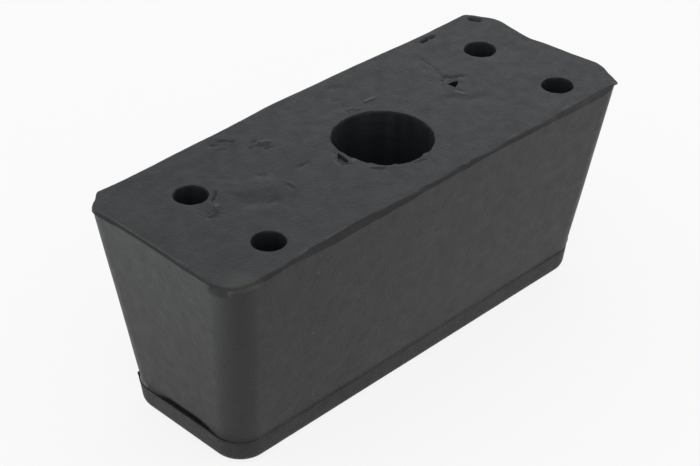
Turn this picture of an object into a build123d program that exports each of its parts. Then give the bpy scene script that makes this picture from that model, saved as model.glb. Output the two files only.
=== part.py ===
"""Moulded rubber loading dock bumper: one tapered block with blind fixing holes in its wide face.

The block is moulded in a two-part mould. The wide face is where the mould closed on the overflow, which was
cut off by hand. The narrow face, with its shallow band, belongs to the other half of the mould.
Millimetres. Origin: middle of the moulded outline, on the narrow face. +X long axis, +Z to the wide face.
"""

from build123d import *
import math
import os

# Moulded block: the sharp-edged size of the wide face, and the taper down to the narrow one
block_length = 218.0
block_width = 84.0
block_height = 92.0
draft_angle = 7.1
corner_radius = 12.0

# Shallow band below the parting line, drafted the other way by the other half of the mould, which closed a
# little to the left: the band stands proud of the body by these steps
band_height = 10.6
band_step_left = 0.8
band_step_right = 0.0
band_step_sides = 0.3
band_draft_ends = 1.2
band_draft_sides = 0.7
band_edge_radius = 3.5

# Flash fin that stands on the band round both ends, and the hollow that shrank behind it
fin_thickness = 0.45
fin_height = 1.6
fin_wrap = 14.0
hollow_side_margin = 12.0
hollow_rise = 4.8
hollow_depth = 1.6

# Knife-cut edge of the wide face: how far it lies inside the moulded outline, or outside if negative, and the
# lip of flash that the slanting cut left below it
trim_near = 1.5
trim_far_ends = 1.1
trim_far_quarter = 0.65
trim_far_bow = -0.75
trim_left_middle = 0.7
trim_left_ends = -0.4
trim_right_start = 2.2
trim_right_far = 1.2
trim_right_dip = 3.6
trim_right_near = 0.4
trim_angle = 45.0
trim_depth = 6.0
flash_lip_thickness = 0.9

# Where that edge turns, measured from the corners of the moulded outline
far_corner_x = 9.0
far_corner_y = 10.8
far_quarter_x = 53.0
far_bow_x = 102.0
near_left_x = 10.0
near_left_y = 11.5
near_left_round = 2.8
near_right_y = 14.0
near_right_round_x = 4.8
near_right_round_y = 6.0
right_peak_far_y = 16.0
right_dip_y = 33.0
right_peak_near_y = 20.0
flash_tip_x = 7.3
flash_tip_inset = 0.4
flash_tip_width = 2.5

# Four blind holes for M12 bolts, and the large relief hole in the middle of them
hole_spacing_x = 160.0
hole_spacing_y = 42.0
hole_diameter = 13.0
hole_depth = 45.0
hole_group_x = 3.3
hole_group_y = -5.0
relief_diameter = 40.0
relief_depth = 60.0
hole_floor_chamfer = 2.0
hole_overcut = 1.0

half_length = block_length / 2
half_width = block_width / 2
draft_slope = math.tan(math.radians(draft_angle))
parting_inset = draft_slope * (block_height - band_height)
band_length = block_length - 2 * parting_inset + band_step_left + band_step_right
band_width = block_width - 2 * parting_inset + 2 * band_step_sides
band_shift = (band_step_right - band_step_left) / 2


def moulded_outline(inset, height):
    """The block's rounded outline at one height, moved inwards from its size at the wide face."""
    outline = RectangleRounded(block_length - 2 * inset, block_width - 2 * inset, corner_radius)
    return Pos(0, 0, height) * outline


def tapered_body():
    """Body from the parting line up to the wide face, with the same corner radius all the way."""
    return loft([moulded_outline(parting_inset, band_height), moulded_outline(0, block_height)], ruled=True)


def bottom_band():
    """Band below the parting line: proud of the body there, narrower at its rounded lower edge."""
    base = RectangleRounded(band_length - 2 * band_draft_ends, band_width - 2 * band_draft_sides, corner_radius)
    rim = RectangleRounded(band_length, band_width, corner_radius)
    band = loft([Pos(band_shift, 0, 0) * base, Pos(band_shift, 0, band_height) * rim], ruled=True)
    return fillet(band.faces().sort_by(Axis.Z)[0].edges(), band_edge_radius)


def flash_fins():
    """Thin fin squeezed out at the parting line, standing on the band's edge round both ends."""
    outside = RectangleRounded(band_length, band_width, corner_radius)
    inside = RectangleRounded(band_length - 2 * fin_thickness, band_width - 2 * fin_thickness,
                              corner_radius - fin_thickness)
    middle = Rectangle(band_length - 2 * fin_wrap, band_width)
    return Pos(band_shift, 0, band_height) * extrude(outside - inside - middle, fin_height)


def shrunk_hollow(side):
    """Lens-shaped hollow in the end face above the parting line, behind the fin; side is -1 or +1."""
    half_span = band_width / 2 - hollow_side_margin
    face_x = block_length / 2 - parting_inset
    lens = make_face([
        Line((-half_span, 0), (half_span, 0)),
        ThreePointArc((half_span, 0), (0, hollow_rise), (-half_span, 0)),
    ])
    end_plane = Plane(origin=(side * (face_x - hollow_depth), 0, band_height), x_dir=(0, side, 0),
                      z_dir=(side, 0, 0))
    return extrude(end_plane * lens, hollow_depth + band_step_left)


def trimmed_outline(height, spread=0):
    """Edge that the knife left, moved outwards by spread: a far side that bows, cut far corners, a scalloped
    right end, and a torn tip of flash at the near right corner."""
    left = -half_length - spread
    right = half_length + spread
    near = -half_width - spread
    far = half_width + spread
    near_cut = near + trim_near
    left_edge = left + trim_left_ends
    far_side = [
        (-half_length + far_corner_x, far - trim_far_ends),
        (-half_length + far_quarter_x, far - trim_far_quarter),
        (-half_length + far_bow_x, far - trim_far_bow),
        (half_length - far_quarter_x, far - trim_far_quarter),
        (half_length - far_corner_x, far - trim_far_ends),
    ]
    right_end = [
        (right - trim_right_start, half_width - far_corner_y),
        (right - trim_right_far, half_width - right_peak_far_y),
        (right - trim_right_dip, half_width - right_dip_y),
        (right - trim_right_near, -half_width + right_peak_near_y),
        (right - trim_right_near, -half_width + near_right_y),
    ]
    left_far = (left_edge, half_width - far_corner_y)
    left_near = (left_edge, -half_width + near_left_y)
    near_left = (-half_length + near_left_x, near_cut)
    near_left_arc = (left_edge + near_left_round, near_cut + near_left_round)
    near_right_arc = (right - near_right_round_x, near + near_right_round_y)
    tip = (half_length - flash_tip_x, near + flash_tip_inset)
    near_right = (half_length - flash_tip_x - flash_tip_width, near_cut)
    edges = [
        Spline(*far_side),
        Line(far_side[-1], right_end[0]),
        Spline(*right_end),
        ThreePointArc(right_end[-1], near_right_arc, tip),
        Line(tip, near_right),
        Line(near_right, near_left),
        ThreePointArc(near_left, near_left_arc, left_near),
        ThreePointArc(left_near, (left + trim_left_middle, 0), left_far),
        Line(left_far, far_side[0]),
    ]
    return Pos(0, 0, height) * make_face(edges)


def trim_envelope():
    """Everything that the slanting knife cut leaves below the edge of the wide face."""
    spread = trim_depth * math.tan(math.radians(trim_angle))
    return loft([trimmed_outline(block_height - trim_depth, spread), trimmed_outline(block_height)], ruled=True)


def trimmed_body():
    """Tapered body with its top edge cut at a slant, and the thin lip of flash left where it stood proud."""
    body = tapered_body()
    envelope = trim_envelope()
    uncut = split(body, bisect_by=Plane.XY.offset(block_height - trim_depth), keep=Keep.BOTTOM)
    lip = split(envelope, bisect_by=Plane.XY.offset(block_height - flash_lip_thickness), keep=Keep.TOP)
    return uncut + (body & envelope) + lip


def blind_hole(x, y, diameter, depth):
    """Moulded blind hole down from the wide face, its floor chamfered like the core pin's end."""
    hole = Pos(x, y, block_height - depth) * extrude(Circle(diameter / 2), depth + hole_overcut)
    return chamfer(hole.edges().sort_by(Axis.Z)[0], hole_floor_chamfer)


def fixing_holes():
    """The four bolt holes, on a rectangle about the relief hole, and the relief hole itself."""
    holes = [
        blind_hole(hole_group_x + side_x * hole_spacing_x / 2, hole_group_y + side_y * hole_spacing_y / 2,
                   hole_diameter, hole_depth)
        for side_x in (-1, 1) for side_y in (-1, 1)
    ]
    return holes + [blind_hole(hole_group_x, hole_group_y, relief_diameter, relief_depth)]


def bumper_block():
    """The whole bumper as one piece of rubber."""
    hollows = [shrunk_hollow(side) for side in (-1, 1)]
    return trimmed_body() - hollows + bottom_band() + flash_fins() - fixing_holes()


os.makedirs("parts", exist_ok=True)
export_step(bumper_block(), "parts/bumper_block.step")
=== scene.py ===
import bmesh
import bpy
import functools
import math
from mathutils import Matrix, Vector, noise


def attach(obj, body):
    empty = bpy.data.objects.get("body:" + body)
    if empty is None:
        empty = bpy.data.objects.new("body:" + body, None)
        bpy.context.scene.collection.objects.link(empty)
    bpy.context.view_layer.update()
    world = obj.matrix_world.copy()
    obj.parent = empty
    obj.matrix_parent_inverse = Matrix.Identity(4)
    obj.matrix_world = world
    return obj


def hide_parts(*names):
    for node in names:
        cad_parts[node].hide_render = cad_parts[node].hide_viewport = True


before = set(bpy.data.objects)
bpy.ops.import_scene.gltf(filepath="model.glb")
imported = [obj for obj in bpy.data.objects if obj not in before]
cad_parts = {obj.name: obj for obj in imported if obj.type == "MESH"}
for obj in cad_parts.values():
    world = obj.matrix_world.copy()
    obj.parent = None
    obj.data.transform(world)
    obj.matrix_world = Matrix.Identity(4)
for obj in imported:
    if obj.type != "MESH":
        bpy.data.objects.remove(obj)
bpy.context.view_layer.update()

# The block. One piece of black rubber, pressed hot in a two-part mould and tapered so that it comes out. It
# starts as a flat sheet, the wide face, whose edge is drawn down ring by ring to the narrow face; then every
# ring is moved to its place. Sizes are millimetres until the finished mesh is scaled.
half_length = 109.0
half_width = 42.0
block_height = 92.0
corner_radius = 12.0
draft_slope = math.tan(math.radians(7.1))
straight_x = half_length - corner_radius
straight_y = half_width - corner_radius
corner_arc = corner_radius * math.pi / 2
cell_size = 1.0

blank = bmesh.new()
bmesh.ops.create_grid(blank, x_segments=round(2 * half_length / cell_size),
                      y_segments=round(2 * half_width / cell_size), size=0.5)
bmesh.ops.scale(blank, vec=(2 * half_length, 2 * half_width, 1), verts=blank.verts)
for v in blank.verts:
    past_x = (abs(v.co.x) - straight_x) / corner_radius
    past_y = (abs(v.co.y) - straight_y) / corner_radius
    if past_x > 0 and past_y > 0:
        round_x = corner_radius * past_x * math.sqrt(1 - past_y * past_y / 2)
        round_y = corner_radius * past_y * math.sqrt(1 - past_x * past_x / 2)
        v.co.x = math.copysign(straight_x + round_x, v.co.x)
        v.co.y = math.copysign(straight_y + round_y, v.co.y)

# Some marks in the wide face are narrower than the sheet's cells, which are cut finer there: the place, how
# far the finer cells reach, and how many cuts each edge gets. The left end's turned-up rim is cut finer too.
fine_spots = [
    (54, 3, 9.5, 2), (-76, 6, 8.5, 2), (15, 19, 9.5, 2), (-17, -6, 8, 2), (-14, 7, 7, 1), (57.5, 20, 6, 1),
    (-35.5, 23, 6.5, 1), (-44, 36, 6.5, 1), (74, 37, 6, 2), (101, 35, 5, 2), (-46.5, -4.5, 4, 1),
    (3.5, -27, 6, 2), (-15, -18.5, 4.5, 2),
]
left_rim_reach = 3.5
for x, y, reach, cuts in fine_spots:
    near = [e for e in blank.edges
            if all((v.co.x - x) ** 2 + (v.co.y - y) ** 2 < reach ** 2 for v in e.verts)]
    bmesh.ops.subdivide_edges(blank, edges=near, cuts=cuts, use_grid_fill=True)
left_rim = [e for e in blank.edges
            if all(v.co.x < left_rim_reach - half_length for v in e.verts)
            and abs(e.verts[0].co.y - e.verts[1].co.y) < 0.3 * abs(e.verts[0].co.x - e.verts[1].co.x)]
bmesh.ops.subdivide_edges(blank, edges=left_rim, cuts=2, use_grid_fill=True)

edge_rings = 3
cut_rings = 4
lip_rings = 3
rim_rings = edge_rings + cut_rings + lip_rings
wall_rings = 40
hollow_rings = 9
band_rings = 17
rings = rim_rings + wall_rings + hollow_rings + band_rings
ring = [e for e in blank.edges if e.is_boundary]
for level in range(rings):
    drawn = bmesh.ops.extrude_edge_only(blank, edges=ring)["geom"]
    ring = [g for g in drawn if isinstance(g, bmesh.types.BMEdge) and g.is_boundary]
    bmesh.ops.translate(blank, vec=(0, 0, -1), verts=[g for g in drawn if isinstance(g, bmesh.types.BMVert)])
bmesh.ops.contextual_create(blank, geom=ring)


def way_round(x, y):
    """Millimetres round the moulded outline, anticlockwise from the middle of the right end."""
    out_x = abs(x) - straight_x
    out_y = abs(y) - straight_y
    if out_x > 0 and out_y > 0:
        turn = math.atan2(out_y, out_x) * corner_radius
        along = straight_y + turn
    elif out_x > out_y:
        along = abs(y)
    else:
        along = straight_y + corner_arc + straight_x - abs(x)
    quarter = straight_y + corner_arc + straight_x
    if x >= 0:
        return along if y >= 0 else 4 * quarter - along
    return 2 * quarter - along if y >= 0 else 2 * quarter + along


def values_at(stations, way):
    """Values at a place round the outline, on a smooth curve through the stations."""
    whole = 4 * (straight_y + corner_arc + straight_x)
    count = len(stations)
    i = sum(1 for s in stations if s[0] <= way)
    four = []
    for k in range(i - 2, i + 2):
        turns, place = divmod(k, count)
        four.append((stations[place][0] + whole * turns,) + tuple(stations[place][1:]))
    a, b, c, d = four
    span = c[0] - b[0]
    f = (way - b[0]) / span
    values = []
    for k in range(1, len(b)):
        leave = (c[k] - a[k]) / (c[0] - a[0]) * span
        arrive = (d[k] - b[k]) / (d[0] - b[0]) * span
        values.append((2 * f ** 3 - 3 * f ** 2 + 1) * b[k] + (f ** 3 - 2 * f ** 2 + f) * leave
                      + (3 * f ** 2 - 2 * f ** 3) * c[k] + (f ** 3 - f ** 2) * arrive)
    return values


# The overflow was cut off by hand with a slanting knife. Each station is a way round the edge in millimetres,
# how far inside the moulded edge the cut starts, how deep it runs, and how far its foot stands out from the
# wall, where a lip of flash was left. The near left corner was then rubbed rounder.
knife_line = [
    (0, 2.1, 2.6, 0), (8, 3.3, 3.4, 0), (20, 1.7, 2.2, 0), (27, 0.8, 1.4, 0), (36, 2.4, 2, 0),
    (42, 1, 1, 0.1), (44.5, 0.1, 0.9, 0.3), (47, 0.6, 1, 0.1), (54, 0.8, 1.2, 0), (76, 0.9, 1.2, 0),
    (90, 0.35, 0.9, 0.3), (112, -0.45, 0.9, 0.8), (140, -0.8, 0.9, 1.1), (157, -1.25, 0.9, 1.4),
    (166, -0.8, 0.9, 1.1), (182, -0.05, 0.9, 0.4), (205, 0.3, 0.9, 0.1), (228, 1, 1.1, 0),
    (241, 0.85, 1.1, 0), (244.5, 0.6, 1.2, 0), (246, 0.25, 1.2, 0), (248, 0.7, 2, 0), (250, 1.2, 3, -0.1),
    (252, 1.3, 3, -0.1), (255, 0.5, 2.2, 0.1), (258, -0.4, 1.4, 0.7), (261, -0.2, 0.9, 0.9),
    (268, 0.3, 0.9, 0.6), (273, 0.45, 0.7, 0.3), (286, 0.5, 0.62, 0.25), (298, 0.3, 0.7, 0.3),
    (304, 0.05, 0.75, 0.45), (312, -0.1, 0.8, 0.65), (331, -0.05, 0.7, 0.35), (338, 0.6, 0.7, 0),
    (346, 1.1, 1.5, 0), (352, 0.7, 1, 0), (358, 1.3, 0.9, 0), (363.5, 1.3, 1.2, 0), (367, 2.1, 1.5, 0),
    (378, 2.2, 2, 0), (388, 2.6, 1.9, 0), (399, 2.4, 1.8, 0), (403, 1.8, 2, 0), (409, 1.8, 1.7, 0),
    (415, 1.3, 1.8, 0), (421, 0.9, 1.5, 0), (426, 1.6, 1.1, 0), (431, 1.1, 1.3, 0), (438, 1, 1.1, 0),
    (447, 1.7, 1.2, 0), (450, 1.2, 1.4, 0), (452.5, 1.7, 0.9, 0), (458, 1, 0.9, 0), (463, 0.6, 0.9, 0),
    (468, 0.9, 0.9, 0), (473, 1.3, 1.1, 0), (477.5, 1.1, 1.4, 0), (484, 1, 1.6, 0), (490.5, 0.5, 1.7, 0),
    (498, 0.4, 1.8, 0), (504, 1, 2.3, 0), (507, 0.7, 2.6, 0), (513, 0.8, 2.8, 0), (519.5, 0.6, 2.8, 0),
    (526, 0.8, 3, 0), (532, 0.7, 3, 0), (536.5, 0.2, 1.8, 0.1), (539, -1.25, 0.5, 0.1),
    (540.6, -0.5, 0.6, 0.2), (542.5, 0.8, 1.2, 0), (549, 2, 2.3, 0), (557, -0.3, 0.9, 0.3),
    (563, 0.1, 0.9, 0.1), (570, 1, 1.3, 0),
]
edge_round = 0.34
worn_round = 0.9
worn_way = 334.5
lip_steps = (0.12, 0.4, 0.9)
lip_undercut = (0.3, 0.2, 0.0)

# The narrow end's band comes from the other mould half, which sat a little to the left. Where the halves met,
# a thin fin of rubber squeezed up. Each station is a way round in millimetres, the fin's height, its lean
# outwards, its thickness, and how open the step behind it is. The end walls shrank to a hollow there.
parting_height = 10.6
parting_inset = draft_slope * (block_height - parting_height)
band_shift = -0.4
band_proud_ends = 0.4
band_proud_sides = 0.3
band_half_length = half_length - parting_inset + band_proud_ends
band_half_width = half_width - parting_inset + band_proud_sides
band_draft_ends = 1.2
band_draft_sides = 0.7
band_edge_radius = 3.5
fin_line = [
    (0, 0.9, 0, 0.4, 0.6), (31, 0.8, 0, 0.4, 0.6), (41, 0.05, 0, 0.15, 0.2), (150, 0.04, 0, 0.12, 0.15),
    (240, 0.03, 0, 0.1, 0.2), (249.5, 0.1, 0.1, 0.2, 0.1), (250.8, 0.7, 0.5, 0.08, 0.1),
    (251.8, 1.1, 0.9, 0.06, 0.1), (253, 0.4, 0.3, 0.08, 0.1), (256, 0.15, 0.1, 0.15, 0.1),
    (270, 0.25, 0, 0.2, 0.3), (276, 0.3, 0, 0.3, 0.7), (282, 0.35, 0, 0.35, 0.9), (288, 0.4, 0, 0.35, 1),
    (304, 0.45, 0, 0.35, 1), (311, 0.5, 0, 0.35, 0.85), (317, 0.35, 0, 0.3, 0.6), (327, 0.2, 0, 0.22, 0.35),
    (345, 0.04, 0, 0.12, 0.15), (440, 0.03, 0, 0.1, 0.1), (500, 0.05, 0, 0.14, 0.25),
    (520, 0.08, 0, 0.2, 0.5), (541, 0.1, 0, 0.25, 0.6), (550, 0.3, 0, 0.3, 0.6), (556, 0.8, 0, 0.4, 0.6),
]
hollow_rise = 5.0
hollow_depth = 1.1
hollow_sink = 0.2

# Two faults of the walls: rubber is missing below the flash at the near left corner, and a bead of it stands
# above the parting line at the near right one. From, to and way are millimetres round the edge.
missing_depth = 2
missing_top = 91.2
missing_foot = 86.6
missing_from = 321.3
missing_to = 330.8
bead_proud = 0.7
bead_height = 12.3
bead_way = 547


def soft_step(f):
    """Rises from 0 to 1 as f does, and is level before and after."""
    f = min(max(f, 0.0), 1.0)
    return f * f * (3 - 2 * f)


# The wide face sank as it cooled. The mould's closing and the rubber's flow left marks in it: each is a line
# of points, then its half width and its height; a minus is a groove.
face_marks = [
    ([(60.5, 30), (59, 26), (58, 19.5), (56.5, 14.5), (55, 12)], 0.5, -0.2),
    ([(52.5, 9), (55.5, 10), (57.5, 8), (60.5, 6)], 1.1, -0.5),
    ([(51, 7), (54, 7.5), (56.5, 6.5), (58.5, 4.5), (58, 3)], 0.7, 0.15),
    ([(50.5, 6.5), (49.5, 4.5)], 0.8, 0.08), ([(49.5, -1), (50, -2.5), (50.5, -4)], 0.7, 0.24),
    ([(51.5, -0.5), (52.5, -3.5)], 0.9, -0.2),
    ([(43, -2), (47, -4.5), (48.5, -8), (51.5, -10), (55, -11.5)], 2.6, -0.24), ([(-80, 0.5)], 4.4, -0.5),
    ([(-81, 0), (-78, 0.5)], 0.8, -0.3), ([(-75, 4)], 1.3, 0.5), ([(-75.5, 3), (-76.5, 2)], 0.8, 0.25),
    ([(-69, 11), (-71.5, 9), (-73.5, 8)], 0.7, -0.8), ([(-68, 11), (-66, 8.5), (-63.5, 5)], 0.7, 0.14),
    ([(-63.5, 11), (-62, 9), (-59, 7.5)], 0.7, -0.2), ([(-62, 8), (-60, 6.5)], 0.8, 0.13),
    ([(-62.5, 16.5), (-60.5, 16)], 0.6, -0.2), ([(-65, 18), (-64.5, 17)], 0.6, 0.2),
    ([(-60, 6), (-56, 4.5), (-52, 2)], 3.4, 0.6), ([(-65, -1.5), (-62, -4.5), (-57, -8)], 3.6, -0.6),
    ([(-60.5, -9.5), (-58.5, -10.5)], 1.2, 0.15), ([(-59, -14.5), (-57.5, -15.5)], 0.5, 0.25),
    ([(-50, 9), (-48, 6.5)], 0.7, -0.28), ([(-49, 9.5), (-47.5, 8)], 0.6, 0.12),
    ([(-46, -0.5), (-45, -3), (-45.5, -7.5)], 0.8, 0.15), ([(-46.5, -4), (-46.5, -7)], 0.7, -0.28),
    ([(-35.5, 2.5), (-33.5, 2), (-31, 2)], 0.7, -0.35), ([(-34.5, 3.5), (-31, 3.5)], 0.7, 0.12),
    ([(-36, 27.5), (-34, 27)], 0.5, -0.3),
    ([(-39, 25), (-36.5, 24.5), (-34.5, 23), (-32.5, 22)], 0.5, -0.4),
    ([(-35, 20.5), (-32, 20)], 0.6, -0.45), ([(-33.5, 25.5), (-30.5, 23.5)], 0.8, 0.4),
    ([(-45, 36.5), (-43.5, 36), (-42, 34.5), (-41, 33)], 0.6, -0.35), ([(-49, 36.5), (-47, 35)], 0.7, -0.3),
    ([(-49.5, 32), (-46.5, 31)], 0.5, -0.25), ([(-42.5, 38), (-41, 37.5), (-40, 34.5)], 1.1, 0.75),
    ([(8, 19.5), (11, 19)], 0.45, 0.42), ([(11, 17.5), (12.5, 17)], 0.45, 0.36),
    ([(17.5, 19), (20.5, 19), (23, 18.5)], 0.5, 0.45), ([(17.5, 18), (20.5, 17.5)], 0.4, -0.15),
    ([(7.5, 27.5), (11, 27)], 0.8, -0.22), ([(14.5, 36), (17, 35), (19, 34)], 0.8, -0.2),
    ([(70.5, 37), (74, 37.5), (77, 37)], 0.8, -1.6), ([(100.5, 36.5), (102, 33.5)], 1.0, -2.0),
    ([(80.5, 8.5), (83.5, 9.5)], 0.8, -0.3), ([(-9, 11), (-13.5, 5.5), (-15.5, 2)], 0.5, 0.22),
    ([(-15.5, -17), (-12, -20), (-7.5, -24)], 0.6, 0.2),
    ([(-18, 0), (-21.5, -4.5), (-22, -8), (-19.5, -10)], 0.7, -0.25), ([(3, -25.5), (6.5, -24)], 0.5, 0.35),
    ([(-1, -26.5), (3, -27.5)], 0.6, -0.35), ([(-13.5, -15), (-12.5, -16)], 0.6, 0.35),
    ([(-16, -17.5), (-12.5, -21.5)], 0.7, -0.3),
]


def from_line(points, x, y):
    """How far a place is from a line of points."""
    nearest = math.hypot(x - points[0][0], y - points[0][1])
    for a, b in zip(points, points[1:]):
        dx, dy = b[0] - a[0], b[1] - a[1]
        f = min(max(((x - a[0]) * dx + (y - a[1]) * dy) / (dx * dx + dy * dy), 0), 1)
        nearest = min(nearest, math.hypot(x - a[0] - f * dx, y - a[1] - f * dy))
    return nearest


def face_relief(x, y):
    """Height of the wide face: sunk in slow waves, turned up at the left end's rim, and with its marks."""
    inside = min(half_length - abs(x), half_width - abs(y))
    turned_up = math.exp(-((y - 6) / 22) ** 4) if x < 0 else 0
    calm = soft_step(inside / 16) + turned_up * (soft_step((inside - 0.7) / 0.9) - soft_step(inside / 16))
    height = -0.04 - (0.22 + 0.12 * turned_up * math.exp(-inside / 12)) * calm
    height += 0.10 * calm * noise.noise(Vector((x / 55, y / 40, 1.3)))
    height += 0.045 * noise.noise(Vector((x / 13, y / 11, 7.1))) * (0.4 + 0.6 * calm)
    height += 0.02 * noise.noise(Vector((x / 4, y / 3, 3.7)))
    for points, half_mark, rise in face_marks:
        near = 3 * half_mark
        if x < min(p[0] for p in points) - near or x > max(p[0] for p in points) + near:
            continue
        if y < min(p[1] for p in points) - near or y > max(p[1] for p in points) + near:
            continue
        ragged = 1 + 0.8 * noise.noise(Vector((x / 1.4, y / 1.4, 9.1)))
        height += rise * ragged * math.exp(-(from_line(points, x, y) / half_mark) ** 2)
    return min(height, -0.01)


def on_outline(x, y, length, width, out):
    """Place on a rounded outline of that half length and half width, for a place on the moulded one."""
    core_x = min(max(x, -straight_x), straight_x)
    core_y = min(max(y, -straight_y), straight_y)
    away = Vector((x - core_x, y - core_y)) / corner_radius
    core_x *= (length - corner_radius) / straight_x
    core_y *= (width - corner_radius) / straight_y
    return core_x + away.x * (corner_radius + out), core_y + away.y * (corner_radius + out)


def wall_wave(x, y, z):
    """Slow unevenness of a moulded rubber wall."""
    slow = 0.1 * noise.noise(Vector((x / 38, y / 38, z / 30)))
    return slow + 0.04 * noise.noise(Vector((x / 11, y / 11, z / 14)))


@functools.lru_cache(maxsize=None)
def column(x, y):
    """What a place on the edge passes down to its rings: the knife's cut, the fin, the relief, the way."""
    way = way_round(x, y)
    cut, drop, proud = values_at(knife_line, way)
    cut += 0.08 * noise.noise(Vector((way / 2.7, 5.5, 0))) + 0.08 * noise.noise(Vector((way / 8.0, 8.5, 0)))
    drop = max(0.5, drop * (1 + 0.12 * noise.noise(Vector((way / 5.0, 1.5, 0)))))
    fin, lean, thick, open_step = values_at(fin_line, way)
    fin *= 1 + 0.25 * noise.noise(Vector((way / 4.0, 2.5, 0)))
    return cut, drop, proud, max(fin, 0.02), lean, thick, open_step, face_relief(x, y), way


def hollow_share(x, y):
    """How much of the hollow's full depth a place has: most towards one side of an end, none at corners."""
    if abs(x) < half_length - 4:
        return 0
    foot_y = -math.copysign(1, x) * y * (band_half_width - corner_radius) / straight_y
    return soft_step((23 - foot_y) / 17) * soft_step((foot_y + 28) / 20)


def side_place(x, y, level):
    """Where the ring of that number stands, from the wide face's edge down to the narrow face's."""
    cut, drop, proud, fin, lean, thick, open_step, relief, way = column(x, y)
    foot = proud - draft_slope * drop
    turned_edge = edge_round + worn_round * math.exp(-((way - worn_way) / 6) ** 2)
    if level <= edge_rings:
        turn = (level / edge_rings) * math.pi / 2
        out = -cut - turned_edge * (1 - math.sin(turn))
        depth = min(turned_edge * 0.8, drop * 0.8) * (1 - math.cos(turn)) - relief
    elif level <= edge_rings + cut_rings:
        f = (level - edge_rings) / cut_rings
        start = min(turned_edge * 0.8, drop * 0.8) - relief
        out = -cut + (foot + cut) * f - 0.08 * math.sin(f * math.pi)
        depth = start + (drop - start) * f
    elif level <= rim_rings:
        step = level - edge_rings - cut_rings - 1
        under = lip_steps[step]
        lip = soft_step(proud / 0.5)
        out = -draft_slope * (drop + under) - lip_undercut[step] * lip
        depth = drop + under
    if level <= rim_rings:
        x, y = on_outline(x, y, half_length, half_width, out)
        return x, y, block_height - depth
    top = block_height - drop - lip_steps[-1]
    wall_foot = parting_height + hollow_rise + 0.6
    deep = hollow_share(x, y)
    gap_floor = parting_height - hollow_sink * deep
    if level <= rim_rings + wall_rings + hollow_rings:
        if level <= rim_rings + wall_rings:
            z = top + (wall_foot - top) * ((level - rim_rings) / wall_rings) ** 1.5
        else:
            z = wall_foot + (gap_floor + 0.03 - wall_foot) * (level - rim_rings - wall_rings) / hollow_rings
        inset = draft_slope * (block_height - z)
        out = wall_wave(x, y, z) * soft_step((top - z) / 6) * soft_step((z - parting_height) / 6)
        lens_top = parting_height + hollow_rise * (0.2 + 0.8 * deep)
        out -= hollow_depth * deep * min(max((lens_top - z) / hollow_rise, 0), 1) ** 1.8
        if x < 0 and y < 0:
            scoop = soft_step((missing_top - z) / 0.7) * min(max((z - missing_foot) / 3.9, 0), 1)
            along = soft_step((way - missing_from) / 1.6) * soft_step((missing_to - way) / 2)
            out -= missing_depth * scoop * along
        if x > 0 and y < 0:
            bead = math.exp(-((z - bead_height) / 1.1) ** 2) * math.exp(-((way - bead_way) / 6) ** 2)
            out += bead_proud * bead
        flare = (1 - min(max(open_step, 0), 1)) * soft_step((parting_height + 1.8 - z) / 1.8) * 0.85
        band_x, band_y = on_outline(x, y, band_half_length, band_half_width, 0)
        x, y = on_outline(x, y, half_length - inset, half_width - inset, out)
        return x + (band_x + band_shift - x) * flare, y + (band_y - y) * flare, z
    # The band: the step behind the fin, the fin's back, tip and front, then the band's side and rounded foot.
    level -= rim_rings + wall_rings + hollow_rings
    fillet_from = 9
    if level == 1:
        out, z = -max(thick, 0.14), gap_floor - 0.1
    elif level == 2:
        out, z = lean * 0.5 - thick * 0.75, parting_height + fin * 0.6
    elif level == 3:
        out, z = lean - thick * 0.45, parting_height + fin
    elif level == 4:
        out, z = lean - 0.07, parting_height + fin - 0.05
    elif level == 5:
        out, z = lean * 0.6, parting_height + fin * 0.6 - 0.2
    elif level < fillet_from:
        f = (level - 5) / (fillet_from - 5)
        out, z = 0, parting_height - (parting_height - band_edge_radius) * f
    else:
        turn = (level - fillet_from) / (band_rings - fillet_from) * math.pi / 2
        out, z = -band_edge_radius * (1 - math.cos(turn)), band_edge_radius * (1 - math.sin(turn))
    draft = max(0, parting_height - z) / parting_height
    out += 0.06 * noise.noise(Vector((x / 16, y / 16, z / 8 + 4))) * soft_step(z / 3)
    band_length = band_half_length - draft * band_draft_ends
    band_width = band_half_width - draft * band_draft_sides
    x, y = on_outline(x, y, band_length, band_width, out)
    return x + band_shift, y, z


for v in blank.verts:
    level = round(-v.co.z)
    x, y = v.co.x, v.co.y
    if level > 0:
        v.co = side_place(x, y, level)
        continue
    core = Vector((min(max(x, -straight_x), straight_x), min(max(y, -straight_y), straight_y)))
    away = Vector((x, y)) - core
    inside = corner_radius - away.length
    if away.length > 1e-6:
        edge = core + away.normalized() * corner_radius
        rim_x, rim_y = side_place(edge.x, edge.y, 0)[:2]
        pull = soft_step(1 - inside / 9)
        x += (rim_x - edge.x) * pull
        y += (rim_y - edge.y) * pull
    v.co = (x, y, block_height + face_relief(x, y))

bmesh.ops.recalc_face_normals(blank, faces=blank.faces)


def made_object(name, shape):
    """Puts a finished shape into the scene as an object of that name."""
    mesh = bpy.data.meshes.new(name)
    shape.to_mesh(mesh)
    shape.free()
    made = bpy.data.objects.new(name, mesh)
    bpy.context.scene.collection.objects.link(made)
    return made


bumper = made_object("bumper_rubber", blank)

# The holes. Four for M12 bolts and a large relief hole in the middle, left by core pins that stood in the
# mould. Each pin is a turned profile that flares a little at the face; its shape is taken out of the block.
hole_group = (3.3, -5.0)
bolt_spacing_x = 160
bolt_spacing_y = 42
bolt_radius = 6.5
bolt_depth = 45
bolt_flare_near = 0.05
bolt_flare_far = 0.35
relief_radius = 20.0
relief_depth = 60
relief_flare = 0.3
bolt_holes = [(hole_group[0] + side_x * bolt_spacing_x / 2, hole_group[1] + side_y * bolt_spacing_y / 2)
              for side_x in (-1, 1) for side_y in (-1, 1)]


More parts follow.
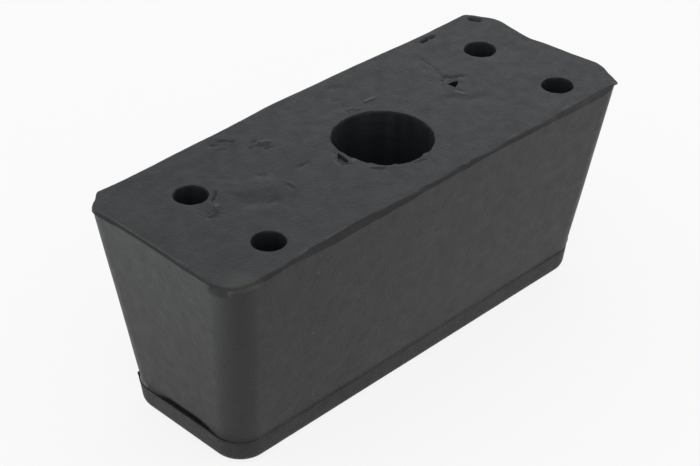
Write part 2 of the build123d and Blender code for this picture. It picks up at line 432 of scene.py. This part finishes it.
def core_pin(name, x, y, radius, depth, segments, flare):
    """A tool the shape of a core pin, chamfered at its end and flared by that much at the face."""
    floor = block_height - depth
    profile = [(0, floor), (radius - 2, floor), (radius - 0.6, floor + 0.6), (radius, floor + 2),
               (radius, block_height - 2.2), (radius + 0.1 * flare, block_height - 1.2),
               (radius + 0.45 * flare, block_height - 0.6), (radius + flare + 0.2, block_height + 0.1),
               (radius + flare + 0.2, block_height + 3), (0, block_height + 3)]
    pin = bmesh.new()
    points = [pin.verts.new((x + r, y, z)) for r, z in profile]
    line = [pin.edges.new(pair) for pair in zip(points, points[1:])]
    bmesh.ops.spin(pin, geom=points + line, cent=(x, y, 0), axis=(0, 0, 1), dvec=(0, 0, 0),
                   angle=math.tau, steps=segments, use_merge=True)
    bmesh.ops.remove_doubles(pin, verts=pin.verts, dist=1e-4)
    bmesh.ops.recalc_face_normals(pin, faces=pin.faces)
    return made_object(name, pin)


def take_out(block, tool):
    """Takes the tool's shape out of the block for good, and throws the tool away."""
    cut = block.modifiers.new("cut", "BOOLEAN")
    cut.operation = "DIFFERENCE"
    cut.solver = "MANIFOLD"
    cut.object = tool
    bpy.context.view_layer.update()
    cut_mesh = bpy.data.meshes.new_from_object(block.evaluated_get(bpy.context.evaluated_depsgraph_get()))
    block.modifiers.clear()
    old = block.data
    block.data = cut_mesh
    bpy.data.meshes.remove(old)
    cut_mesh.name = block.name
    bpy.data.meshes.remove(tool.data)


for x, y in bolt_holes:
    flare = bolt_flare_far if y > 0 else bolt_flare_near
    take_out(bumper, core_pin("bolt_pin", x, y, bolt_radius, bolt_depth, 72, flare))
take_out(bumper, core_pin("relief_pin", *hole_group, relief_radius, relief_depth, 160, relief_flare))

# Two places where the rubber did not close: a torn void in the face, and a gap behind the relief hole's rim.
void_depth = 5.0
rim_gap_depth = 1.4
void_edge = [(51.5, 5.5), (54, 5.5), (56, 5), (57, 4), (54.5, 2.5), (52, 1.5), (52, 4)]
rim_gap_edge = [(-16.5, 0.5), (-17, -5), (-18, -9), (-20, -9.5), (-22, -7), (-21.5, -4.5), (-19, -1.5)]


def gap_pin(name, edge, depth, shrink):
    """A tool the shape of a torn gap, narrower at its bottom."""
    pin = bmesh.new()
    rim = pin.faces.new([pin.verts.new((x, y, block_height + 1)) for x, y in edge])
    middle = rim.calc_center_median()
    drawn = bmesh.ops.extrude_face_region(pin, geom=[rim])["geom"]
    floor = [g for g in drawn if isinstance(g, bmesh.types.BMVert)]
    bmesh.ops.translate(pin, vec=(0, 0, -depth - 1), verts=floor)
    bmesh.ops.scale(pin, vec=(shrink, shrink, 1), verts=floor, space=Matrix.Translation(-middle))
    bmesh.ops.subdivide_edges(pin, edges=pin.edges, cuts=2, use_grid_fill=True)
    for v in pin.verts:
        v.co.x += 0.3 * noise.noise(v.co / 0.9)
        v.co.y += 0.3 * noise.noise(v.co / 0.9 + Vector((7, 0, 0)))
    bmesh.ops.recalc_face_normals(pin, faces=pin.faces)
    return made_object(name, pin)


take_out(bumper, gap_pin("void_tool", void_edge, void_depth, 0.8))
take_out(bumper, gap_pin("rim_gap_tool", rim_gap_edge, rim_gap_depth, 0.5))

# The rims of the holes are ragged, and tabs of thin flash hang over the relief hole's: degrees round it, how
# wide each tab is, and how far it reaches in.
rim_tabs = [(155, 6, 0.5), (172, 9, 0.9), (193, 12, 1.15), (212, 5, 0.9), (237, 3, 0.6), (265, 5, 0.4),
            (278, 4.5, 0.9)]
tab_foot = 90.4


def rag_rim(vert, hole_x, hole_y, radius):
    """Moves a vert of a hole's upper rim in or out, as the torn rubber stands."""
    away = Vector((vert.co.x - hole_x, vert.co.y - hole_y))
    if abs(away.length - radius) > 0.45 or vert.co.z < block_height - 2.5:
        return
    inward = 0.3 * noise.noise(vert.co / 2.2) + 0.15 * noise.noise(vert.co / 0.76)
    if radius > 10:
        degrees = math.degrees(math.atan2(away.y, away.x)) % 360
        tabs = sum(reach * math.exp(-((degrees - middle) / wide) ** 2) for middle, wide, reach in rim_tabs)
        inward += 1.1 * tabs * soft_step((vert.co.z - tab_foot) / 0.8)
    away *= 1 - inward / away.length
    vert.co.x, vert.co.y = hole_x + away.x, hole_y + away.y


# Pale lines, points and half the line's width: rubber that tore stretched pale, and painted highlights on
# thin ridges and glints along the near edge. The curl of flash at the foot of the far left corner is painted
# pale too, a painted highlight on its shaded face.
torn_and_highlight_lines = [([(8, 19.5), (11, 19)], 0.35), ([(11, 17.5), (12.5, 17)], 0.35),
              ([(17.5, 19), (20.5, 19), (23, 18.5)], 0.35), ([(49.5, -1), (50, -2.5), (50.5, -4)], 0.45),
              ([(-75.5, 3.5), (-74.5, 4)], 0.4), ([(-15.5, 1.5), (-15.5, -2), (-16, -5.5), (-17, -9)], 0.3),
              ([(-9, 11), (-13.5, 5.5)], 0.35), ([(-13.5, -14.5), (-12.5, -16)], 0.3),
              ([(3, -25.5), (6.5, -24)], 0.25), ([(100.8, -41.4), (102.4, -42.6)], 0.8),
              ([(-74, -39.7), (-70.5, -39.3)], 0.4), ([(-61.5, -39.2), (-56, -38.9), (-50.5, -38.8)], 0.35),
              ([(11.5, -40.1), (13.5, -40)], 0.35), ([(70, -40.3), (74, -40.2)], 0.35)]

# Pale lines are marked on the mesh, torn rubber with painted highlights, and so is the knife's cut, which is
# painted darker than moulded rubber, partly as painted shade. Then the rims are made ragged, the mesh is
# brought to metres, and its faces are shaded smooth except at sharp edges.
finished = bmesh.new()
finished.from_mesh(bumper.data)
torn_and_highlight_layer = finished.verts.layers.float.new("torn_and_highlight")
knife_cut_shade_layer = finished.verts.layers.float.new("knife_cut_and_shade")
for v in finished.verts:
    x, y, z = v.co
    if z < block_height - 4:
        # The curl of flash at the far left foot is painted pale: a painted highlight.
        v[torn_and_highlight_layer] = float(x < -94 and y > 20 and parting_height + 0.2 < z < parting_height + 2)
        continue
    ragged = 0.75 + 0.6 * noise.noise(v.co / 0.8)
    v[torn_and_highlight_layer] = ragged * max(math.exp(-(from_line(points, x, y) / half) ** 2)
                                 for points, half in torn_and_highlight_lines)
    if min(half_length - abs(x), half_width - abs(y)) < 4.5:
        drop = values_at(knife_line, way_round(x, y))[1]
        # The cut strip, painted darker below: partly the fresh cut, partly painted shade.
        v[knife_cut_shade_layer] = float(block_height - drop * 1.1 - 0.05 < z < block_height - 0.32)
for v in finished.verts:
    rag_rim(v, *hole_group, relief_radius)
    for x, y in bolt_holes:
        rag_rim(v, x, y, bolt_radius)
bmesh.ops.scale(finished, vec=(0.001, 0.001, 0.001), verts=finished.verts)
for face in finished.faces:
    face.smooth = True
for edge in finished.edges:
    edge.smooth = edge.calc_face_angle(0) < math.radians(38)
finished.to_mesh(bumper.data)
finished.free()

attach(bumper, "root")
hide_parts("bumper_block")


def linear(hex_colour):
    """sRGB hex to the linear colour that a shader takes."""
    parts = [int(hex_colour[i:i + 2], 16) / 255 for i in (1, 3, 5)]
    return [p / 12.92 if p < 0.04045 else ((p + 0.055) / 1.055) ** 2.4 for p in parts] + [1]


def add_node(tree, kind, settings={}, values={}, links={}):
    """Adds a node, gives it its settings and socket values, and links its sockets to other nodes' outputs."""
    made = tree.nodes.new(kind)
    for name, setting in settings.items():
        setattr(made, name, setting)
    for socket, value in values.items():
        made.inputs[socket].default_value = value
    for socket, source in links.items():
        tree.links.new(source, made.inputs[socket])
    return made


# Rubber filled with carbon black, pressed against ground steel: near black with a soft, wide sheen and a fine
# grain, a little green on the drafted sides. The wide face's bluer colour is a painted cool tint of its
# sheen.
rubber_ior = 1.43
rubber = bpy.data.materials.new("moulded_black_rubber")
rubber.use_nodes = True
tree = rubber.node_tree
shader = tree.nodes["Principled BSDF"]
shader.inputs["IOR"].default_value = rubber_ior
coordinates = add_node(tree, "ShaderNodeTexCoord").outputs
place = coordinates["Object"]
axes = add_node(tree, "ShaderNodeSeparateXYZ", links={"Vector": place}).outputs

# Where the skin is: the wide face, and the band at the narrow end.
facing = add_node(tree, "ShaderNodeSeparateXYZ", links={"Vector": coordinates["Normal"]}).outputs["Z"]
facing_up = add_node(tree, "ShaderNodeMapRange", {"interpolation_type": "SMOOTHSTEP"},
                     {"From Min": 0.86, "From Max": 0.96}, {"Value": facing}).outputs["Result"]
near_top = add_node(tree, "ShaderNodeMath", {"operation": "GREATER_THAN"}, {1: (block_height - 2.5) / 1000},
                    {0: axes["Z"]}).outputs[0]
on_wide_face = add_node(tree, "ShaderNodeMath", {"operation": "MULTIPLY"},
                        links={0: facing_up, 1: near_top}).outputs[0]
on_band = add_node(tree, "ShaderNodeMapRange", {"interpolation_type": "SMOOTHSTEP"},
                   {"From Min": (parting_height + 1.2) / 1000, "From Max": (parting_height - 0.2) / 1000},
                   {"Value": axes["Z"]}).outputs["Result"]

# Blooming: cloudy patches 18 mm and 5 mm across, where wax came to the surface.
cloud = add_node(tree, "ShaderNodeTexNoise", values={"Scale": 1 / 0.018, "Detail": 3.0, "Roughness": 0.55},
                 links={"Vector": place}).outputs["Fac"]
mottle = add_node(tree, "ShaderNodeTexNoise", values={"Scale": 1 / 0.005, "Detail": 4.0, "Roughness": 0.6},
                  links={"Vector": place}).outputs["Fac"]

# Flow streaks in the wide face, 1 mm wide and four times as long.
stretched = add_node(tree, "ShaderNodeMapping", values={"Scale": (0.25, 1.0, 1.0), "Rotation": (0, 0, 0.3)},
                     links={"Vector": place}).outputs["Vector"]
streak = add_node(tree, "ShaderNodeTexNoise", values={"Scale": 1 / 0.001, "Detail": 2.0},
                  links={"Vector": stretched}).outputs["Fac"]

# Grain of the mould's steel. The real one is 0.1 mm; it is drawn 0.9 mm wide so that it shows.
grain = add_node(tree, "ShaderNodeTexNoise", values={"Scale": 1 / 0.0009, "Detail": 2.0, "Roughness": 0.7},
                 links={"Vector": place}).outputs["Fac"]


def set_ramp(ramp, dark, light):
    """Makes a colour ramp run from the dark hex colour to the light one over the middle of its range."""
    ends = ramp.color_ramp.elements
    ends[0].position = 0.3
    ends[0].color = linear(dark)
    ends[1].position = 0.7
    ends[1].color = linear(light)


# The wide face: bloom clouds in a bluer colour, a painted cool tint of its sheen.
face_colour_and_sheen_tint = add_node(tree, "ShaderNodeValToRGB", links={"Fac": cloud})
set_ramp(face_colour_and_sheen_tint, "#080c13", "#11171f")
wall_colour = add_node(tree, "ShaderNodeValToRGB", links={"Fac": mottle})
set_ramp(wall_colour, "#0e110e", "#191c18")
skin = add_node(tree, "ShaderNodeMix", {"data_type": "RGBA"}, links={"Factor": on_wide_face})
tree.links.new(wall_colour.outputs["Color"], skin.inputs["A"])
tree.links.new(face_colour_and_sheen_tint.outputs["Color"], skin.inputs["B"])

# Dust caught in the skin: pale grains up to 0.5 mm across, some centimetres apart.
dust_cells = add_node(tree, "ShaderNodeTexVoronoi", values={"Scale": 1 / 0.006}, links={"Vector": place})
dust_grain = add_node(tree, "ShaderNodeMath", {"operation": "LESS_THAN"}, {1: 0.04},
                      {0: dust_cells.outputs["Distance"]}).outputs[0]
chance = add_node(tree, "ShaderNodeSeparateColor",
                  links={"Color": dust_cells.outputs["Color"]}).outputs["Red"]
kept = add_node(tree, "ShaderNodeMath", {"operation": "GREATER_THAN"}, {1: 0.45}, {0: chance}).outputs[0]
dust = add_node(tree, "ShaderNodeMath", {"operation": "MULTIPLY"}, links={0: dust_grain, 1: kept}).outputs[0]

# Nicks in the near long side, and its pale knocks: millimetres along it, up it, and how wide.
nick_spots = [(-52.5, 54.5, 1.1), (-40.5, 49, 0.8), (-46, 65, 0.9), (-17.5, 31.5, 1), (-2.5, 68, 1),
              (30.5, 52, 0.9), (19.5, 55, 0.8)]
pale_spots = [(-66, 80, 0.9), (-65, 50.5, 0.9), (-66, 88, 0.6), (-36.5, 89.5, 0.5)]
masks = []
for spots in (nick_spots, pale_spots):
    mask = None
    for x, z, wide in spots:
        y = draft_slope * (block_height - z) - half_width
        apart = add_node(tree, "ShaderNodeVectorMath", {"operation": "DISTANCE"},
                         {1: Vector((x, y, z)) / 1000}, {0: place}).outputs["Value"]
        spot = add_node(tree, "ShaderNodeMapRange", {"interpolation_type": "SMOOTHSTEP"},
                        {"From Min": 0.0007 * wide, "From Max": 0.0001 * wide},
                        {"Value": apart}).outputs["Result"]
        if mask:
            spot = add_node(tree, "ShaderNodeMath", {"operation": "MAXIMUM"},
                            links={0: mask, 1: spot}).outputs[0]
        mask = spot
    masks.append(mask)
nicks, pale = masks
# The pale lines hold torn rubber and painted highlights.
torn_and_highlight = add_node(tree, "ShaderNodeAttribute", {"attribute_name": "torn_and_highlight"}).outputs["Fac"]
cut_and_painted_shade = add_node(tree, "ShaderNodeAttribute", {"attribute_name": "knife_cut_and_shade"}).outputs["Fac"]
pale = add_node(tree, "ShaderNodeMath", {"operation": "MAXIMUM"}, links={0: pale, 1: torn_and_highlight}).outputs[0]
pale = add_node(tree, "ShaderNodeMath", {"operation": "MULTIPLY"}, links={0: pale, 1: mottle}).outputs[0]

# The near left corner of the cut edge, about 10 mm round, is painted grey: rubbed wear, and partly a painted
# highlight that lightens the rounded corner.
knocked_and_highlit_corner = (-0.102, -0.0405, 0.0912)
from_corner = add_node(tree, "ShaderNodeVectorMath", {"operation": "DISTANCE"}, {1: knocked_and_highlit_corner},
                       {0: place}).outputs["Value"]
scuffed_and_highlight = add_node(tree, "ShaderNodeMapRange", {"interpolation_type": "SMOOTHSTEP"},
                   {"From Min": 0.0105, "From Max": 0.004}, {"Value": from_corner}).outputs["Result"]
above = add_node(tree, "ShaderNodeMapRange", {"interpolation_type": "SMOOTHSTEP"},
                 {"From Min": 0.0888, "From Max": 0.0902}, {"Value": axes["Z"]}).outputs["Result"]
scuffed_and_highlight = add_node(tree, "ShaderNodeMath", {"operation": "MULTIPLY"}, links={0: scuffed_and_highlight, 1: above}).outputs[0]
scuffed_and_highlight = add_node(tree, "ShaderNodeMath", {"operation": "MULTIPLY"},
                   links={0: scuffed_and_highlight, 1: mottle}).outputs[0]

# The skin's colour, in layers: the knife's cut painted darker, partly painted shade; then the near left
# corner painted grey, wear with a painted highlight; pale lines, torn rubber with painted highlights; and
# dust.
# The knife's cut is painted darker here, partly as painted shade.
sliced_and_shaded = add_node(tree, "ShaderNodeMix", {"data_type": "RGBA"}, {"B": linear("#07080a")},
                  {"Factor": cut_and_painted_shade, "A": skin.outputs["Result"]})
# Painted grey at the near left corner: wear, and partly a painted highlight.
rubbed_and_highlighted = add_node(tree, "ShaderNodeMix", {"data_type": "RGBA"}, {"B": linear("#373935")},
                  {"Factor": scuffed_and_highlight, "A": sliced_and_shaded.outputs["Result"]})
# Pale knocks, torn rubber and painted highlights are painted pale here.
paled_and_highlighted = add_node(tree, "ShaderNodeMix", {"data_type": "RGBA"}, {"B": linear("#6b6d69")},
                 {"Factor": pale, "A": rubbed_and_highlighted.outputs["Result"]})
dusty = add_node(tree, "ShaderNodeMix", {"data_type": "RGBA"}, {"B": linear("#4f504b")},
                 {"Factor": dust, "A": paled_and_highlighted.outputs["Result"]})
tree.links.new(dusty.outputs["Result"], shader.inputs["Base Color"])

roughness = add_node(tree, "ShaderNodeMapRange",
                     values={"From Min": 0.3, "From Max": 0.7, "To Min": 0.42, "To Max": 0.55},
                     links={"Value": mottle}).outputs["Result"]
band_roughness = add_node(tree, "ShaderNodeMath", {"operation": "MULTIPLY_ADD"}, {1: 0.07},
                          {0: on_band, 2: roughness}).outputs[0]
tree.links.new(band_roughness, shader.inputs["Roughness"])

# Relief too fine for the mesh: the streaks, the mottle, the grain, coarser on the band, scratches, and nicks.
streak_bump = add_node(tree, "ShaderNodeBump", values={"Distance": 0.00003},
                       links={"Height": streak, "Strength": on_wide_face}).outputs["Normal"]
mottle_bump = add_node(tree, "ShaderNodeBump", values={"Distance": 0.00014, "Strength": 0.8},
                       links={"Height": mottle, "Normal": streak_bump}).outputs["Normal"]
grain_bump = add_node(tree, "ShaderNodeBump", values={"Distance": 0.00022, "Strength": 0.9},
                      links={"Height": grain, "Normal": mottle_bump}).outputs["Normal"]
band_bump = add_node(tree, "ShaderNodeBump", values={"Distance": 0.0004},
                     links={"Height": grain, "Strength": on_band, "Normal": grain_bump}).outputs["Normal"]
crossed = add_node(tree, "ShaderNodeMapping", values={"Scale": (0.5, 1.2, 1.0), "Rotation": (0, 0, -0.5)},
                   links={"Vector": place}).outputs["Vector"]
scratch = add_node(tree, "ShaderNodeTexNoise", values={"Scale": 1 / 0.0014, "Detail": 1.0},
                   links={"Vector": crossed}).outputs["Fac"]
scratch = add_node(tree, "ShaderNodeMapRange", values={"From Min": 0.69, "From Max": 0.76},
                   links={"Value": scratch}).outputs["Result"]
scratch_bump = add_node(tree, "ShaderNodeBump", {"invert": True}, {"Distance": 0.00008},
                        {"Height": scratch, "Strength": on_wide_face, "Normal": band_bump}).outputs["Normal"]
nick_bump = add_node(tree, "ShaderNodeBump", {"invert": True}, {"Distance": 0.0004},
                     {"Height": nicks, "Normal": scratch_bump}).outputs["Normal"]
tree.links.new(nick_bump, shader.inputs["Normal"])
bumper.data.materials.clear()
bumper.data.materials.append(rubber)

# Rubber in the holes. The turned steel pins left it matt and dry, with no bloom: a little greyer in the dark,
# with faint bands round the hole some 2 mm apart.
bore_rubber = bpy.data.materials.new("pin_moulded_black_rubber")
bore_rubber.use_nodes = True
tree = bore_rubber.node_tree
shader = tree.nodes["Principled BSDF"]
shader.inputs["IOR"].default_value = rubber_ior
shader.inputs["Roughness"].default_value = 0.62
place = add_node(tree, "ShaderNodeTexCoord").outputs["Object"]
spread_round = add_node(tree, "ShaderNodeMapping", values={"Scale": (0.12, 0.12, 1.0)},
                        links={"Vector": place}).outputs["Vector"]
bands = add_node(tree, "ShaderNodeTexNoise", values={"Scale": 1 / 0.0022, "Detail": 3.0},
                 links={"Vector": spread_round}).outputs["Fac"]
grey = add_node(tree, "ShaderNodeValToRGB", links={"Fac": bands})
set_ramp(grey, "#1b1c1f", "#24262b")
tree.links.new(grey.outputs["Color"], shader.inputs["Base Color"])
bands_bump = add_node(tree, "ShaderNodeBump", values={"Distance": 0.00015},
                      links={"Height": bands}).outputs["Normal"]
tree.links.new(bands_bump, shader.inputs["Normal"])
bumper.data.materials.append(bore_rubber)
for face in bumper.data.polygons:
    x, y, z = face.center * 1000
    in_hole = any(math.hypot(x - hole_x, y - hole_y) < bolt_radius + 0.3 for hole_x, hole_y in bolt_holes)
    in_hole = in_hole or math.hypot(x - hole_group[0], y - hole_group[1]) < relief_radius + 0.3
    if in_hole and 30 < z < block_height - 0.3 and abs(face.normal.z) < 0.9:
        face.material_index = 1

# The floor. A wide sheet of matt white paper under the block. Seen straight or in a sheen it mostly glows, so
# that it looks white, and it still takes the block's shadow.
sheet = bmesh.new()
bmesh.ops.create_grid(sheet, x_segments=1, y_segments=1, size=2.5)
bmesh.ops.translate(sheet, vec=(0, 0, -0.0001), verts=sheet.verts)
floor_sheet = made_object("floor", sheet)
paper = bpy.data.materials.new("white_paper_sweep")
paper.use_nodes = True
tree = paper.node_tree
tree.nodes.clear()


def seen_rays(tree):
    """1 for rays from the camera, or from a shiny or clear surface; 0 for those that only bring light."""
    rays = add_node(tree, "ShaderNodeLightPath").outputs
    direct = add_node(tree, "ShaderNodeMath", {"operation": "MAXIMUM"},
                      links={0: rays["Is Camera Ray"], 1: rays["Is Glossy Ray"]}).outputs[0]
    return add_node(tree, "ShaderNodeMath", {"operation": "MAXIMUM"},
                    links={0: direct, 1: rays["Is Transmission Ray"]}).outputs[0]


share = add_node(tree, "ShaderNodeMath", {"operation": "MULTIPLY"}, {1: 0.85},
                 {0: seen_rays(tree)}).outputs[0]
matt = add_node(tree, "ShaderNodeBsdfDiffuse", values={"Color": linear("#fbfbf9")}).outputs[0]
white = add_node(tree, "ShaderNodeEmission", values={"Color": (1, 1, 1, 1), "Strength": 1.0}).outputs[0]
both = add_node(tree, "ShaderNodeMixShader", links={0: share, 1: matt, 2: white}).outputs[0]
add_node(tree, "ShaderNodeOutputMaterial", links={"Surface": both})
floor_sheet.data.materials.append(paper)

# The light. A white room, a cool soft box high behind the block and a little to the right, and a cool board
# of light that lies on the floor to the left and faces up.
world = bpy.data.worlds.new("white_room")
bpy.context.scene.world = world
world.use_nodes = True
tree = world.node_tree
tree.nodes.clear()
lit = add_node(tree, "ShaderNodeBackground", values={"Color": (1, 1, 1, 1), "Strength": 0.75}).outputs[0]
white = add_node(tree, "ShaderNodeBackground", values={"Color": (1, 1, 1, 1), "Strength": 1.0}).outputs[0]
both = add_node(tree, "ShaderNodeMixShader", links={0: seen_rays(tree), 1: lit, 2: white}).outputs[0]
add_node(tree, "ShaderNodeOutputWorld", links={"Surface": both})
soft_boxes = [("soft_box_right", (0.95, 0.62, 0.62), (0, 0, 0), 0.7, 0.32, (0.9, 0.96, 1)),
              ("bounce_board_left", (-0.42, 0.17, 0.002), (-0.42, 0.17, 1), 0.5, 0.66, (0.86, 0.95, 1))]
for name, spot, aim, width, power, tint in soft_boxes:
    lamp = bpy.data.lights.new(name, "AREA")
    lamp.shape = "SQUARE"
    lamp.size = width
    lamp.energy = power
    lamp.color = tint
    box = bpy.data.objects.new(name, lamp)
    bpy.context.scene.collection.objects.link(box)
    turned = (Vector(aim) - Vector(spot)).to_track_quat("-Z", "Y").to_matrix().to_4x4()
    box.matrix_world = Matrix.Translation(spot) @ turned

# Camera
azimuth, elevation, roll = math.radians(-45.544), math.radians(34.254), math.radians(0.784)
back = Vector((math.sin(azimuth) * math.cos(elevation), -math.cos(azimuth) * math.cos(elevation),
               math.sin(elevation)))
right = Vector((math.cos(azimuth), math.sin(azimuth), 0))
up = back.cross(right)
rolled_right = math.cos(roll) * right + math.sin(roll) * up
rolled_up = -math.sin(roll) * right + math.cos(roll) * up
camera_data = bpy.data.cameras.new("camera")
camera_data.lens = 97.588
camera_data.sensor_width = 36
camera = bpy.data.objects.new("camera", camera_data)
bpy.context.scene.collection.objects.link(camera)
stand = Matrix((rolled_right, rolled_up, back)).transposed().to_4x4()
stand.translation = Vector((-0.45327, -0.43587, 0.47421))
camera.matrix_world = stand
bpy.context.scene.camera = camera
bpy.context.scene.view_settings.view_transform = "Standard"
